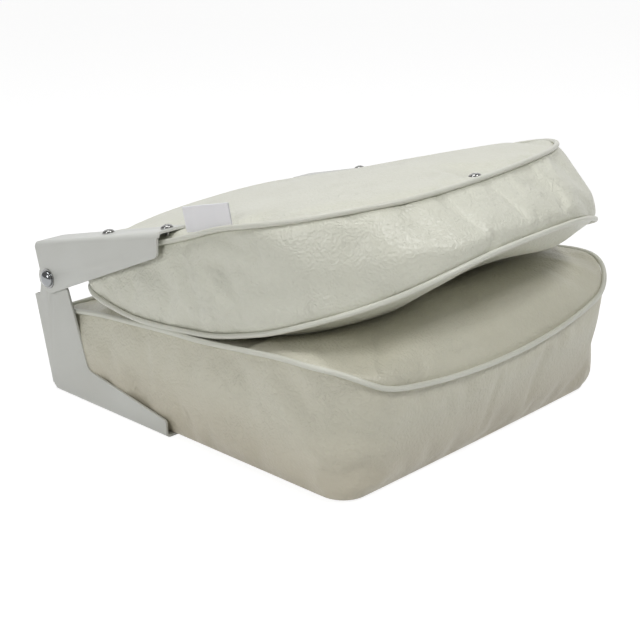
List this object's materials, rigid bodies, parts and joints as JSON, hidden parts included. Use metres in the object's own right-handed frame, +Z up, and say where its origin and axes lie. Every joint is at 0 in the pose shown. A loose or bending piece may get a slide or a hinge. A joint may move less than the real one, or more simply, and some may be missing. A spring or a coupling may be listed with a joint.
{
  "type": "folding boat seat",
  "caption": "Upholstered boat seat with a fold-down backrest on sheet-steel hinge brackets, modelled folded, with a bolt pattern under its board.",
  "frame": {"origin": "centre of the mounting bolt pattern, on the underside of the seat board", "axes": "+X to the sitter's left, -Y towards the front edge of the seat, +Z up. The rest pose is folded, with the backrest lying face down on the seat"},
  "size_m": [0.4368, 0.5009, 0.273],
  "materials": {
    "plywood": "plain plywood",
    "foam": "open-cell cushion foam",
    "vinyl": "grained marine vinyl, satin",
    "welt_vinyl": "smooth vinyl piping",
    "powder_coat": "satin powder coat",
    "polished_steel": "polished",
    "stainless_screw": "bright",
    "stainless_wire": "plain",
    "zinc_plated_steel": "zinc plated",
    "nylon": "moulded",
    "tag_tape": "woven tape, blank"
  },
  "bodies": {
    "seat": {"seat_board": "plywood", "seat_tee_nuts": "zinc_plated_steel", "seat_foam": "foam", "seat_top_panel": "vinyl", "seat_boxing": "vinyl", "seat_welt": "welt_vinyl", "seat_staples": "stainless_wire", "lower_bracket_right": "powder_coat", "lower_bracket_left": "powder_coat", "lower_bracket_screws": "stainless_screw", "pivot_bolts": "polished_steel", "pivot_washers": "stainless_screw", "pivot_spacers": "nylon", "pivot_lock_nuts": "stainless_screw"},
    "backrest": {"back_board": "plywood", "back_tee_nuts": "zinc_plated_steel", "back_foam": "foam", "back_rear_pad": "foam", "back_front_panel": "vinyl", "back_boxing": "vinyl", "back_front_welt": "welt_vinyl", "back_rear_welt": "welt_vinyl", "back_rear_panel": "vinyl", "upper_bracket_right": "powder_coat", "upper_bracket_left": "powder_coat", "upper_bracket_screws": "stainless_screw", "panel_top_screw": "stainless_screw", "side_tag": "tag_tape"}
  },
  "joints": [
    {"name": "backrest_fold", "type": "hinge", "parent": "seat", "child": "backrest", "pos_m": [0, 0.2017, 0.1246], "axis": [-1, 0, 0], "range_deg": [0, 95]}
  ]
}
